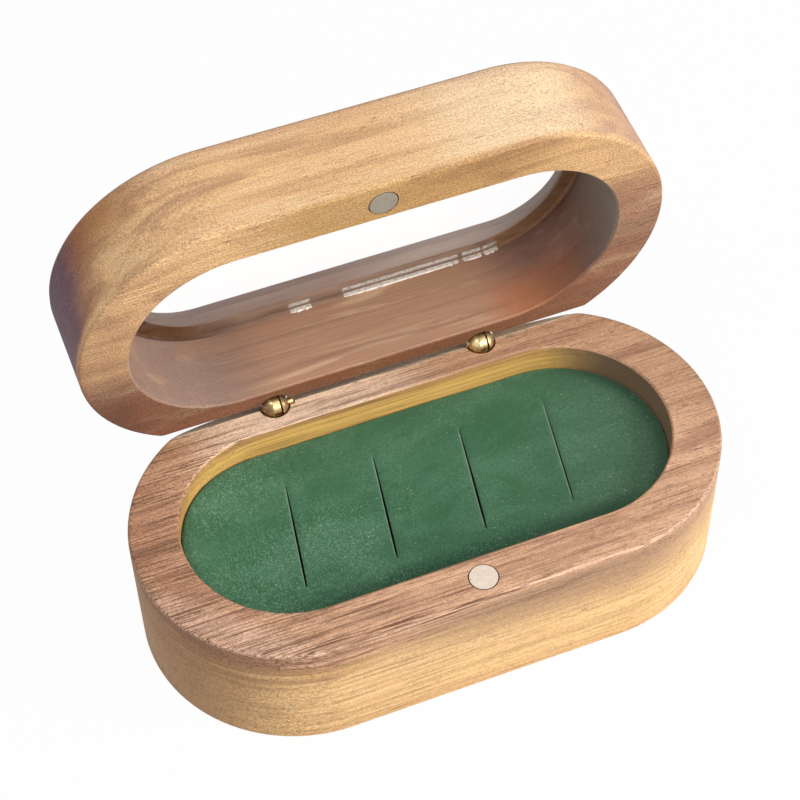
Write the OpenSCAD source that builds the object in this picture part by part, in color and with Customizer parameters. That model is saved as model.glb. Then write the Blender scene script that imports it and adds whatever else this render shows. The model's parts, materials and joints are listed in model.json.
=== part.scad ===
// Ring display box: a two-part wooden case with a window lid, a slotted
// suede ring pad, two brass knuckle barrel hinges and a magnet catch.
// Origin: centre of the base's underside. +X along the box, +Y to the hinge
// side, +Z up. The lid is drawn open, resting on its hinge stops.

/* [Box] */
// Length of the box
box_l = 120; // [110:1:150]
// Width of the box, front to hinge side
box_w = 63; // [60:1:76]
// Height of the base
base_h = 29; // [26:0.5:40]
// Height of the lid
lid_h = 21; // [19:0.5:30]
// Rounding of the sharp outer edges
edge_r = 0.6; // [0.3:0.1:1.2]
// Rounding of the lid's outer top edge
lid_top_r = 2; // [0.8:0.1:3]
// Small bevel around the mouths of the hollows and the window
mouth_bevel = 0.4; // [0.2:0.1:0.8]
// Gap left between the two rims when the box is shut
seam_gap = 0.1; // [0.06:0.02:0.3]

/* [Base pocket] */
// Length of the pocket
pocket_l = 100.4; // [96:0.2:102]
// Width of the pocket
pocket_w = 43.4; // [40:0.2:44]
// Wood left under the pocket
floor_t = 6; // [4:0.5:10]

/* [Ring pad] */
// Depth of the pad's top below the rim
pad_drop = 6.4; // [3:0.2:9]
// Gap between the pad and the pocket wall
pad_gap = 0.15; // [0.05:0.05:0.4]
// Thickness of the suede
suede_t = 0.6; // [0.4:0.1:1]
// Thickness of the card under the foam
board_t = 1.5; // [0.8:0.1:2.5]
// Number of ring slits
slit_count = 4; // [2:1:5]
// Length of each slit
slit_l = 25.6; // [18:0.2:30]
// Width of each slit
slit_w = 0.8; // [0.5:0.1:1.2]
// Depth of each slit below the pad's top
slit_depth = 9; // [6:0.5:11]
// Distance from slit to slit
slit_pitch = 18.6; // [14:0.2:19]
// Slant of the slits from straight across the box
slit_slant = 10.2; // [0:0.1:15]

/* [Lid window] */
// Length of the hollow under the lid
cavity_l = 100.2; // [96:0.2:102]
// Width of the hollow under the lid
cavity_w = 44.2; // [40:0.1:45]
// Length of the window at the lid's top
window_l = 93.4; // [80:0.2:93.6]
// Width of the window at the lid's top
window_w = 30.4; // [26:0.2:38]
// Thickness of the wooden lip that holds the pane
lip_t = 2; // [1.5:0.1:3]
// Thickness of the clear pane
pane_t = 2; // [1.5:0.1:3]
// Gap between the pane's edge and the wood
pane_gap = 0.15; // [0.05:0.05:0.3]
// Thickness of the glue bead under the pane
bead_t = 0.2; // [0.1:0.05:0.4]
// Width of the glue bead
bead_w = 3; // [1:0.1:3.2]

/* [Magnet catch] */
// Diameter of the disc magnets
magnet_d = 5.5; // [4:0.5:6.5]
// Thickness of the disc magnets
magnet_t = 2; // [1:0.5:4]
// Distance from the front face to the magnets' centres
magnet_inset = 4.9; // [4.5:0.1:6]
// How far right of the middle the magnets sit
magnet_x = 0.4; // [-2:0.1:2]
// Gap around a magnet in its recess
magnet_gap = 0.25; // [0.05:0.05:0.3]

/* [Hinges] */
// Distance from the middle of the box to each hinge
hinge_x = 22.3; // [15:0.1:30]
// Distance from the rear face to the hinge pins
hinge_inset = 4.2; // [4:0.1:5.5]
// Angle from shut to the hinge stop
open_angle = 84.7; // [75:0.1:88]
// Depth of the bevel on the base's rear top edge
base_bevel = 4.5; // [4.3:0.1:5.5]
// Height of that bevel on the rear face
base_bevel_h = 3.8; // [3.6:0.1:4.5]
// Radius at which the base's bevel turns off at each end
base_turn = 10.5; // [4:0.5:12]
// Depth and height of the bevel on the lid's rear lower edge
lid_bevel = 5.6; // [5.3:0.1:7]
// Radius at which the lid's bevel turns off at each end
lid_turn = 5; // [4:0.5:12]
// Diameter of the barrels glued into the wood
barrel_d = 5.9; // [5:0.1:6]
// Length of each barrel, measured from the pin
barrel_l = 9.4; // [7:0.1:12]
// Gap around a barrel in its bore
barrel_gap = 0.05; // [0.02:0.01:0.1]
// Diameter of the ball-shaped knuckle
knuckle_d = 5.7; // [4.6:0.1:5.8]
// Gap around the knuckle at the mouth of its bore
knuckle_gap = 0.35; // [0.1:0.05:0.5]
// Diameter of the hinge pin
pin_d = 1.4; // [1:0.1:1.6]
// Running gap around the pin in the tongue
pin_gap = 0.04; // [0.02:0.01:0.08]
// How far the left pin has slid out towards the middle
pin_slip = 1.2; // [0:0.1:1.4]
// Thickness of the lid barrel's tongue
tongue_t = 1.5; // [1.2:0.1:1.8]
// Half height of the tongue, and the radius of its round end
tongue_r = 2.3; // [1.6:0.1:2.4]
// Gap on each side of the tongue in the fork
fork_gap = 0.1; // [0.06:0.02:0.2]
// Extra play on the tongue's right
side_play = 0.2; // [0:0.05:0.4]

/* [Hidden] */

$fn = 96;
cut = 1;                                   // how far cutters run past a face
pin_y = box_w / 2 - hinge_inset;           // hinge axis
pin_z = base_h + seam_gap / 2;
magnet_y = -box_w / 2 + magnet_inset;
knuckle_r = knuckle_d / 2;
barrel_r = barrel_d / 2;
shoulder = tongue_r;                       // barrel's full width ends here, below the pin
knuckle_clear = knuckle_r + 0.3;           // lid barrel's full width starts here
knuckle_room = 1.5;                        // depth of the wide mouth around a knuckle
pin_ear = sqrt(pow(knuckle_r, 2) - pow(pin_d / 2, 2));  // pin's half length, flush with the ball
pin_clear = 0.2;                           // wood to the pin that has slid out
turn_cuts = 3;                             // flats with which a rear bevel turns off
stop_gap = 0.02;                           // tongue to its stop when open
magnet_glue = 0.1;                         // glue behind a magnet
barrel_glue = 0.4;                         // room behind a barrel
pad_top = base_h - pad_drop;
board_top = floor_t + board_t;
pad_l = pocket_l - 2 * pad_gap;
pad_w = pocket_w - 2 * pad_gap;
pane_l = cavity_l - 2 * pane_gap;
pane_w = cavity_w - 2 * pane_gap;
lip_z = lid_h - lip_t;                     // inner face of the lip, from the lid's rim
pane_z = lip_z - bead_t - pane_t;          // pane's inner face, from the lid's rim
steps = 4;                                 // segments in a small rounding

walnut = [0.66, 0.46, 0.29];
golden = [0.72, 0.53, 0.33];
brass = [0.66, 0.54, 0.30];
nickel = [0.78, 0.76, 0.70];
green = [0.14, 0.33, 0.22];

// Side outline of a block as [offset from the wall, height], rounded low and high
function block_side(h, r_low, r_high) = concat(
  [for (i = [0:steps]) let (a = 90 * i / steps) [-r_low * (1 - sin(a)), r_low * (1 - cos(a))]],
  [for (i = [0:steps]) let (a = 90 * i / steps) [-r_high * (1 - cos(a)), h - r_high * (1 - sin(a))]]);

// Side outline of a straight cutter from z0 to past z1, bevelled where it leaves at z1
function mouth_side(z0, z1) = [[0, z0], [0, z1 - mouth_bevel], [mouth_bevel, z1],
  [mouth_bevel, z1 + cut]];

// Solid with straight sides and half-round ends whose wall follows the side outline
module pill(l, w, side) {
  low = side[0][1];
  high = side[len(side) - 1][1];
  half = [for (p = side) [w / 2 + p[0], p[1]]];
  other = [for (i = [len(half) - 1:-1:0]) [-half[i][0], half[i][1]]];
  for (end = [0, 1]) mirror([end, 0, 0])
    translate([(l - w) / 2, 0, 0])
      rotate([0, 0, -90]) rotate_extrude(angle = 180)
        polygon(concat([[0, low]], half, [[0, high]]));
  rotate([90, 0, 90]) linear_extrude(height = l - w, center = true)
    polygon(concat(half, other));
}

// Straight-sided stadium plate
module plate(l, w, t) {
  linear_extrude(height = t) {
    square([l - w, w], center = true);
    for (s = [-1, 1]) translate([s * (l - w) / 2, 0]) circle(d = w);
  }
}

// Everything above a plane that falls towards +Y at that angle through the X axis
module above_slope(fall) {
  rotate([-fall, 0, 0]) translate([-box_l, -box_w, 0]) cube([2 * box_l, 2 * box_w, box_w]);
}

// Bevels the rear edge of a block's face at z = 0: one flat cut along the back,
// and at each end a few more that turn it off into the round wall
module rear_bevel(depth, height, turn) {
  fall = atan2(height, depth);
  centre_y = box_w / 2 - depth - turn;
  off_x = sqrt(pow(box_w / 2 - turn, 2) - pow(centre_y, 2));
  last = atan2(off_x, centre_y);
  translate([0, centre_y + turn, 0]) above_slope(fall);
  for (end = [0, 1], i = [1:turn_cuts]) mirror([end, 0, 0])
    translate([(box_l - box_w) / 2 + off_x, centre_y, 0])
      rotate([0, 0, -last * i / (turn_cuts + 1)]) translate([0, turn, 0]) above_slope(fall);
}

// Places children at each hinge side: -1 left, 1 right
module at_hinge(side) {
  translate([side * hinge_x, pin_y, pin_z]) children();
}

// Turns the shut lid's pieces about the hinge axis to the open stop
module open_lid() {
  translate([0, pin_y, pin_z]) rotate([-open_angle, 0, 0])
    translate([0, -pin_y, seam_gap / 2]) children();
}

module slits(depth) {
  for (i = [0:slit_count - 1])
    translate([(i - (slit_count - 1) / 2) * slit_pitch, 0, pad_top - depth])
      rotate([0, 0, -slit_slant])
        translate([-slit_w / 2, -slit_l / 2, 0]) cube([slit_w, slit_l, depth + cut]);
}

module base_body() {
  color(walnut) difference() {
    pill(box_l, box_w, block_side(base_h, edge_r, edge_r));
    pill(pocket_l, pocket_w, mouth_side(floor_t, base_h));
    translate([0, 0, base_h]) rear_bevel(base_bevel, base_bevel_h, base_turn);
    translate([magnet_x, magnet_y, base_h - magnet_t - magnet_glue])
      cylinder(d = magnet_d + 2 * magnet_gap, h = magnet_t + magnet_glue + cut);
    for (s = [-1, 1]) at_hinge(s) {
      translate([0, 0, -barrel_l - barrel_glue])
        cylinder(d = barrel_d + 2 * barrel_gap, h = barrel_l + barrel_glue + cut);
      translate([0, 0, -knuckle_room])
        cylinder(d = knuckle_d + 2 * knuckle_gap, h = knuckle_room + cut);
    }
    at_hinge(-1) rotate([0, 90, 0])
      cylinder(d = pin_d + 2 * pin_clear, h = pin_ear + pin_slip + pin_clear);
  }
}

module backing_card() {
  color([0.55, 0.50, 0.42]) translate([0, 0, floor_t]) plate(pad_l, pad_w, board_t);
}

module foam_block() {
  color([0.16, 0.18, 0.17]) difference() {
    translate([0, 0, board_top])
      plate(pad_l - 2 * suede_t, pad_w - 2 * suede_t, pad_top - suede_t - board_top);
    slits(slit_depth);
  }
}

module suede_cover() {
  color(green) difference() {
    translate([0, 0, board_top]) plate(pad_l, pad_w, pad_top - board_top);
    translate([0, 0, board_top - cut])
      plate(pad_l - 2 * suede_t, pad_w - 2 * suede_t, pad_top - suede_t - board_top + cut);
    slits(suede_t + cut);
  }
}

module magnet() {
  color(nickel) cylinder(d = magnet_d, h = magnet_t);
}

module base_magnet() {
  translate([magnet_x, magnet_y, base_h - magnet_t]) magnet();
}

// Turned barrel below the pin, from its foot up to z = top
module barrel_turning(top_r, top) {
  foot = 0.4;
  groove = 0.25;
  grooves = [for (k = [0:2]) let (z = -barrel_l + 2 + 1.6 * k)
    each [[barrel_r, z], [barrel_r - groove, z + groove], [barrel_r, z + 2 * groove]]];
  rotate_extrude()
    polygon(concat([[0, -barrel_l], [barrel_r - foot, -barrel_l], [barrel_r, -barrel_l + foot]],
      grooves, [[barrel_r, -shoulder - (barrel_r - top_r)], [top_r, -shoulder], [top_r, top], [0, top]]));
}

// Room that the tongue sweeps between shut and open, with the stop at the open end
module tongue_room() {
  wide = tongue_t + 2 * fork_gap + side_play;
  left = -tongue_t / 2 - fork_gap;
  reach = 2 * barrel_d;
  heel = (tongue_r + stop_gap) * cos(open_angle);
  translate([left, -reach, -tongue_r - fork_gap]) cube([wide, reach + heel, reach]);
  rotate([90 - open_angle, 0, 0])
    translate([left, 0, -tongue_r - stop_gap]) cube([wide, reach, reach]);
}

module base_barrel(side) {
  color(brass) at_hinge(side) difference() {
    union() {
      barrel_turning(knuckle_r, 0);
      sphere(r = knuckle_r);
    }
    tongue_room();
    rotate([0, 90, 0]) cylinder(d = pin_d + pin_gap, h = barrel_d + cut, center = true);
  }
}

// Pin with domed ends, slid along by slip
module hinge_pin(side, slip) {
  dome = pin_d / 4;
  tip = [for (i = [0:2 * steps]) let (a = 90 * i / (2 * steps))
    [pin_d / 2 * cos(a), pin_ear - dome + dome * sin(a)]];
  other = [for (i = [len(tip) - 1:-1:0]) [tip[i][0], -tip[i][1]]];
  color([0.75, 0.64, 0.38]) at_hinge(side)
    translate([slip, 0, 0]) rotate([0, 90, 0]) rotate_extrude() polygon(concat(other, tip));
}

module lid_barrel(side) {
  color(brass) open_lid() translate([side * hinge_x, pin_y, -seam_gap / 2]) difference() {
    union() {
      mirror([0, 0, 1]) intersection() {
        barrel_turning(barrel_r, 0);
        translate([-barrel_d, -barrel_d, -2 * barrel_l])
          cube([2 * barrel_d, 2 * barrel_d, 2 * barrel_l - knuckle_clear]);
      }
      rotate([0, 90, 0]) cylinder(r = tongue_r, h = tongue_t, center = true);
      translate([-tongue_t / 2, -tongue_r, 0]) cube([tongue_t, 2 * tongue_r, knuckle_clear + cut]);
    }
    rotate([0, 90, 0]) cylinder(d = pin_d + 2 * pin_gap, h = barrel_d, center = true);
  }
}

module lid_frame() {
  color(golden) open_lid() difference() {
    pill(box_l, box_w, block_side(lid_h, edge_r, lid_top_r));
    mirror([0, 0, 1]) pill(cavity_l, cavity_w, mouth_side(-lip_z, 0));
    pill(window_l, window_w, mouth_side(lip_z - cut, lid_h));
    mirror([0, 0, 1]) rear_bevel(lid_bevel, lid_bevel, lid_turn);
    translate([magnet_x, magnet_y, -cut])
      cylinder(d = magnet_d + 2 * magnet_gap, h = magnet_t + magnet_glue + cut);
    for (s = [-1, 1]) translate([s * hinge_x, pin_y, -cut]) {
      cylinder(d = barrel_d + 2 * barrel_gap, h = barrel_l + barrel_glue - seam_gap / 2 + cut);
      cylinder(d = knuckle_d + 2 * knuckle_gap, h = knuckle_clear - seam_gap / 2 + cut);
    }
  }
}

module window_pane() {
  color([0.85, 0.92, 0.95, 0.35]) open_lid()
    translate([0, 0, pane_z]) plate(pane_l, pane_w, pane_t);
}

module pane_glue_bead() {
  color([0.92, 0.92, 0.88, 0.6]) open_lid() translate([0, 0, pane_z + pane_t]) difference() {
    plate(pane_l, pane_w, bead_t);
    translate([0, 0, -cut]) plate(pane_l - 2 * bead_w, pane_w - 2 * bead_w, bead_t + 2 * cut);
  }
}

module lid_magnet() {
  open_lid() translate([magnet_x, magnet_y, 0]) magnet();
}

base_body();
backing_card();
foam_block();
suede_cover();
base_magnet();
base_barrel(-1);  // left_base_barrel
base_barrel(1);  // right_base_barrel
hinge_pin(-1, pin_slip);  // left_hinge_pin
hinge_pin(1, 0);  // right_hinge_pin
lid_barrel(-1);  // left_lid_barrel
lid_barrel(1);  // right_lid_barrel
lid_frame();
window_pane();
pane_glue_bead();
lid_magnet();
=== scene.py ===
# %% [markdown]
# # A wooden ring box with a window lid
#
# This notebook dresses a finished CAD model. The wood, hinges, magnets and
# pane already have their true shapes, so the work here is mostly finishes:
# solid wood, aged brass, nickel and clear acrylic. Only the soft ring pad and
# the glue that squeezed out around the pane are modelled anew, because such
# things have no crisp drawing.
#
# Lengths are in metres, as in the frame. `MM` keeps small sizes readable.

# %% Load the frame
import json
import math

import bmesh
import bpy
from mathutils import Matrix, Vector, noise


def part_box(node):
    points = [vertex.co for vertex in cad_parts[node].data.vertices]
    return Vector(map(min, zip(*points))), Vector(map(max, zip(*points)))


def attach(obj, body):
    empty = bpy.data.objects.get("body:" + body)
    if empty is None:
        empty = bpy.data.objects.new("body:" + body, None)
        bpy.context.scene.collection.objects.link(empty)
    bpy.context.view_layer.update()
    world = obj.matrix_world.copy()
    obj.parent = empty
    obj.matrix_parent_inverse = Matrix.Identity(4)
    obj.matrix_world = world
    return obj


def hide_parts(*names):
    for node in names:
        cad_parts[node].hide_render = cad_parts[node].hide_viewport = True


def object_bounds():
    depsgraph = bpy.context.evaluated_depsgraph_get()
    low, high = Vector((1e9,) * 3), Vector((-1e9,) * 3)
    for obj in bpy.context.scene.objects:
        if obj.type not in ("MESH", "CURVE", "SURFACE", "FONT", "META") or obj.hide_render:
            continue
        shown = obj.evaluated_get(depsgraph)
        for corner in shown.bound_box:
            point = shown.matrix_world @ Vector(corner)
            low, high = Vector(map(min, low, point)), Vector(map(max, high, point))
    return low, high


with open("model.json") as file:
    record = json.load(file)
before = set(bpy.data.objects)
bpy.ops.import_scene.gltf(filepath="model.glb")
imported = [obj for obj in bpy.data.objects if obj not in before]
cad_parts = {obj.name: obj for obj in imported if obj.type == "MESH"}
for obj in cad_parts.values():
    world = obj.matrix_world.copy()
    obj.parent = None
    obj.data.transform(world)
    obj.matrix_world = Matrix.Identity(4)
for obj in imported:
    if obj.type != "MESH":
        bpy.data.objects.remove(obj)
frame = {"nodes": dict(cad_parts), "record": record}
cad_low, cad_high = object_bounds()
MM = 0.001
nodes = frame["nodes"]
print("CAD nodes:", sorted(nodes))
print("CAD box, mm:", [round(v / MM, 1) for v in cad_high - cad_low])

# %% [markdown]
# The lid is drawn open. Its hinge says where the pin is and how far the lid
# turns to shut, and that is all that is needed to speak about the lid as if
# it lay flat: heights then count from the rim that meets the base. A board's
# grain runs straight through a part, so finishes are worked out in that
# flat position.

# %% Hinge facts and the lid's flat position
hinge = frame["record"]["behaviour"]["joints"][0]
PIN = Vector(hinge["pos_m"])
OPEN_ANGLE = math.radians(hinge["range_deg"][1])
lid_shut_to_open = (
    Matrix.Translation(PIN) @ Matrix.Rotation(-OPEN_ANGLE, 4, "X") @ Matrix.Translation(-PIN)
)
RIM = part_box("base_body")[1].z
print("pin at, mm:", [round(v / MM, 2) for v in PIN], "opens", round(math.degrees(OPEN_ANGLE), 1))


# %% [markdown]
# ## Camera
#
# A long lens looks down on the box from the front left. The place and the
# aim are real positions, and a small roll finishes the pose. A helper turns
# an aim and a roll into a rotation, which reads better than Euler angles.

# %% Camera
CAMERA_AT = Vector((-93.9, -236.8, 365.3)) * MM
CAMERA_AIM = Vector((1.5, 19.2, 29.0)) * MM
CAMERA_ROLL = math.radians(1.31)
CAMERA_LENS = 97.2


def aimed(place, aim, roll=0.0):
    """World matrix of a camera or lamp at place that looks at aim."""
    ahead = (aim - place).normalized()
    across = ahead.cross(Vector((0, 0, 1))).normalized()
    up = across.cross(ahead)
    right = across * math.cos(roll) - up * math.sin(roll)
    top = up * math.cos(roll) + across * math.sin(roll)
    turn = Matrix((right, top, -ahead)).transposed().to_4x4()
    return Matrix.Translation(place) @ turn


camera_data = bpy.data.cameras.new("camera")
camera_data.lens = CAMERA_LENS
camera_data.clip_start = 0.01
camera = bpy.data.objects.new("camera", camera_data)
bpy.context.scene.collection.objects.link(camera)
camera.matrix_world = aimed(CAMERA_AT, CAMERA_AIM, CAMERA_ROLL)
bpy.context.scene.camera = camera
print("camera distance, mm:", round((CAMERA_AT - CAMERA_AIM).length / MM))


# %% [markdown]
# ## Node helpers
#
# Every finish below is a node tree. Writing `nodes.new` and `links.new` line
# by line hides the idea, so a small class holds one material and gives each
# kind of node a short call. A plain value given to a call is set on the
# socket, and a socket given to a call is linked. Most layers of a finish
# then read as one sentence: this shade over that colour, here and so strong.

# %% A material under construction
class Finish:
    """One node material, built a line at a time."""

    def __init__(self, name):
        self.material = bpy.data.materials.new(name)
        self.material.use_nodes = True
        self.tree = self.material.node_tree
        self.shader = self.tree.nodes["Principled BSDF"]

    def node(self, kind, inputs=(), **settings):
        made = self.tree.nodes.new(kind)
        for key, value in settings.items():
            setattr(made, key, value)
        for key, value in dict(inputs).items():
            self.feed(made.inputs[key], value)
        return made

    def feed(self, socket, value):
        if isinstance(value, bpy.types.NodeSocket):
            self.tree.links.new(value, socket)
        elif hasattr(value, "__len__") and len(value) == 3 and socket.type == "RGBA":
            socket.default_value = (*value, 1.0)
        else:
            socket.default_value = value

    def set(self, **values):
        """Sets or links the main shader's sockets, with _ for a space."""
        for key, value in values.items():
            self.feed(self.shader.inputs[key.replace("_", " ")], value)

    def math(self, operation, a, b=0.0, c=0.0, clamp=False):
        made = self.node("ShaderNodeMath", {0: a, 1: b, 2: c}, operation=operation, use_clamp=clamp)
        return made.outputs[0]

    def times(self, first, *others):
        """The product of everything given."""
        for other in others:
            first = self.math("MULTIPLY", first, other)
        return first

    def vector(self, operation, a, b):
        return self.node("ShaderNodeVectorMath", {0: a, 1: b}, operation=operation).outputs[0]

    def turned(self, coords, axis, angle):
        turn = self.node("ShaderNodeVectorRotate", {"Vector": coords, "Axis": axis, "Angle": angle})
        return turn.outputs[0]

    def xyz(self, coords):
        """The three parts of a place."""
        return tuple(self.node("ShaderNodeSeparateXYZ", {0: coords}).outputs)

    def place_mm(self, turn=0.0, origin=(0.0, 0.0, 0.0)):
        """The part's own coordinates in millimetres, turned about the X axis through origin."""
        coords = self.node("ShaderNodeTexCoord").outputs["Object"]
        if turn:
            coords = self.vector("SUBTRACT", coords, origin)
            coords = self.turned(coords, (1.0, 0.0, 0.0), turn)
            coords = self.vector("ADD", coords, origin)
        return self.vector("MULTIPLY", coords, (1 / MM,) * 3)

    def stretched(self, coords, cell):
        """Coordinates in which one unit is a cell of that size in millimetres."""
        return self.vector("MULTIPLY", coords, tuple(1 / size for size in cell))

    def noise(self, coords, cell, detail=2.0, roughness=0.5, distortion=0.0):
        """Soft noise from 0 to 1 whose blobs have about that size in millimetres."""
        made = self.node(
            "ShaderNodeTexNoise",
            {
                "Vector": self.stretched(coords, cell),
                "Scale": 1.0,
                "Detail": detail,
                "Roughness": roughness,
                "Distortion": distortion,
            },
        )
        return made.outputs["Fac"]

    def along(self, coords, direction):
        """How far coords lie along a direction."""
        made = self.node("ShaderNodeVectorMath", {0: coords, 1: direction}, operation="DOT_PRODUCT")
        return made.outputs["Value"]

    def fade(self, value, low, high, to_low=0.0, to_high=1.0):
        """A smooth step from to_low at low to to_high at high."""
        made = self.node(
            "ShaderNodeMapRange",
            {"Value": value, "From Min": low, "From Max": high, "To Min": to_low, "To Max": to_high},
            interpolation_type="SMOOTHSTEP",
        )
        return made.outputs[0]

    def mix(self, factor, a, b, blend="MIX"):
        made = self.node("ShaderNodeMix", data_type="RGBA", blend_type=blend)
        self.feed(made.inputs[0], factor)
        self.feed(made.inputs[6], a)
        self.feed(made.inputs[7], b)
        return made.outputs[2]

    def over(self, colour, shade, *amounts, blend="MIX"):
        """Lays a shade over a colour, as strong as the product of the amounts."""
        return self.mix(self.times(*amounts), colour, shade, blend)

    def bump(self, height, depth_mm, strength=1.0):
        inputs = {"Height": height, "Distance": depth_mm * MM, "Strength": strength}
        return self.node("ShaderNodeBump", inputs).outputs[0]


def dress(material, *names):
    """Puts one material on every slot of these CAD nodes."""
    for name in names:
        mesh = nodes[name].data
        mesh.materials.clear()
        mesh.materials.append(material)


print("finish helpers ready")


# %% [markdown]
# ## Light and floor
#
# One broad lamp at the front right does nearly all the work, as a window
# would: faces that look left go dark, which is what makes the rounded ends
# read as round. A weaker one overhead, a little to the left, keeps the rims
# and the pad from going flat. Lamps are given by a level instead of watts.
# At level 1 a white card that faces the lamp renders as white.

# %% Lamps
def lamp(name, direction, distance, size, level, tint=(1.0, 1.0, 1.0)):
    """A square area lamp in that direction from the box."""
    data = bpy.data.lights.new(name, "AREA")
    data.shape = "SQUARE"
    data.size = size
    data.energy = level * (math.pi * distance) ** 2
    data.color = tint
    made = bpy.data.objects.new(name, data)
    bpy.context.scene.collection.objects.link(made)
    aim = Vector((0, 10 * MM, 30 * MM))
    made.matrix_world = aimed(aim + Vector(direction).normalized() * distance, aim)
    return made


lamp("key", (0.95, -0.95, 0.52), distance=1.1, size=1.0, level=1.56, tint=(1.0, 0.985, 0.96))
lamp("top", (-0.42, -0.20, 1.0), distance=1.2, size=0.8, level=0.62)

# %% [markdown]
# The background is white only to the rays that look at it: the camera's own,
# and those that come off gloss or through glass. Other rays meet a dim grey
# room, so the white doesn't wash out the shading. The floor is nearly all
# glow to those rays and keeps a trace of real paper, with the box's soft
# shadow on it. Seen through the pane it glows a little more, to make up for
# the light that the two faces of the pane take away.

# %% World and floor
ROOM_LEVEL = 0.14
FLOOR_WHITE = 0.975
PANE_LOSS = 0.07
FLOOR_REACH = 3.0


def looked_at(tree):
    """1 for rays that show a background: camera, glossy and transmission."""
    path = tree.nodes.new("ShaderNodeLightPath")
    most = path.outputs["Is Camera Ray"]
    for name in ("Is Glossy Ray", "Is Transmission Ray"):
        larger = tree.nodes.new("ShaderNodeMath")
        larger.operation = "MAXIMUM"
        tree.links.new(most, larger.inputs[0])
        tree.links.new(path.outputs[name], larger.inputs[1])
        most = larger.outputs[0]
    return most


world = bpy.data.worlds.new("room")
world.use_nodes = True
bpy.context.scene.world = world
back = world.node_tree.nodes["Background"]
level = world.node_tree.nodes.new("ShaderNodeMapRange")
level.inputs["To Min"].default_value = ROOM_LEVEL
world.node_tree.links.new(looked_at(world.node_tree), level.inputs["Value"])
world.node_tree.links.new(level.outputs[0], back.inputs["Strength"])
back.inputs["Color"].default_value = (1.0, 1.0, 1.0, 1.0)

paper = Finish("floor_paper")
pulp = paper.noise(paper.place_mm(), (90, 90, 90))
paper.set(Base_Color=paper.mix(pulp, (0.58, 0.58, 0.57), (0.62, 0.62, 0.61)), Roughness=0.9)
seen_through = paper.node("ShaderNodeLightPath").outputs["Is Transmission Ray"]
strength = paper.math("MULTIPLY_ADD", seen_through, PANE_LOSS, 1.0)
glow = paper.node("ShaderNodeEmission", {"Strength": strength})
share = paper.math("MULTIPLY", looked_at(paper.tree), FLOOR_WHITE)
blend = paper.node("ShaderNodeMixShader", {0: share, 1: paper.shader.outputs[0], 2: glow.outputs[0]})
paper.tree.links.new(blend.outputs[0], paper.tree.nodes["Material Output"].inputs["Surface"])

floor_mesh = bpy.data.meshes.new("floor")
floor_mesh.from_pydata(
    [(x * FLOOR_REACH, y * FLOOR_REACH, cad_low.z) for x, y in ((-1, -1), (1, -1), (1, 1), (-1, 1))],
    [],
    [(0, 1, 2, 3)],
)
floor_mesh.materials.append(paper.material)
floor = bpy.data.objects.new("floor", floor_mesh)
bpy.context.scene.collection.objects.link(floor)
bpy.context.scene.view_settings.view_transform = "Standard"
print("floor at z", round(cad_low.z / MM, 3))


# %% [markdown]
# ## Wood
#
# Base and lid are milled from solid boards, so their pattern must be a
# volume: the same growth line that runs along the rim has to turn the edge
# and go on down the wall. A texture that is worked out from the part's own
# coordinates does that by itself.
#
# A board has golden sapwood and pink-brown heartwood, parted by a tilted,
# wavy surface. One helper finds that surface. Another measures how far a
# point lies from the box's long middle line, which is the same all along its
# rounded rim, so it can say "near the edge" to the layers below.

# %% Where a point lies in its board
HALF_STRAIGHT = (cad_high.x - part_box("base_body")[1].y) / MM
OUTER_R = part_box("base_body")[1].y / MM


def swing(f, place, cell, detail=2.0):
    """Soft noise from -1 to 1."""
    return f.math("MULTIPLY_ADD", f.noise(place, cell, detail), 2.0, -1.0)


def heartwood(f, local, sway, ripple, side, start, blur):
    """0 in sapwood and 1 in heartwood, which begins where the distance along side passes start."""
    depth = f.along(local, side)
    depth = f.math("MULTIPLY_ADD", sway, blur * 0.9, depth)
    depth = f.math("MULTIPLY_ADD", ripple, blur * 0.35, depth)
    return f.fade(depth, start - blur, start + blur)


def from_spine(f, local, half=HALF_STRAIGHT):
    """Distance in plan from the middle line, a straight segment of that half length."""
    x, y, _ = f.xyz(local)
    beyond = f.math("MAXIMUM", f.math("SUBTRACT", f.math("ABSOLUTE", x), half), 0.0)
    flat = f.node("ShaderNodeCombineXYZ", {0: beyond, 1: y})
    return f.node("ShaderNodeVectorMath", {0: flat.outputs[0]}, operation="LENGTH").outputs["Value"]


print("straight part, mm:", round(2 * HALF_STRAIGHT, 1), "end radius, mm:", round(OUTER_R, 2))


# %% [markdown]
# Some differences belong to a place and not to the board. On the base, the
# ring pocket's wall is a deeper yellow, with painted shade at its right end.
# The left end of the block is painted browner, a painted shade where it
# faces away from the key lamp, and a brown band runs under the rim along the
# front. Along the back, by the hinges, the rim is painted paler as a painted
# sheen; it is pinker at its front left and browner at its back right. Its
# outer edge has a painted highlight along the front and painted shade at the
# right. The bevel behind it lies in the lid's shadow and is painted pale, as
# painted light.
#
# Such places could be painted on an image, but an image must be wrapped
# around the part. Here each one is a soft step along a distance that a maker
# would measure: x to the right, y to the back, how deep below the rim, and r
# from the long middle line.

# %% Places on the base
RIM_WIDTH = 9.8
POCKET_R = OUTER_R - RIM_WIDTH
BEVEL_IN = 4.5
BEVEL_DOWN = 3.8
BEVEL_FACING = Vector((0.0, BEVEL_DOWN, BEVEL_IN)).normalized()
BEVEL_AT = BEVEL_FACING.dot(Vector((0.0, OUTER_R - BEVEL_IN, RIM / MM)))

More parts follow.
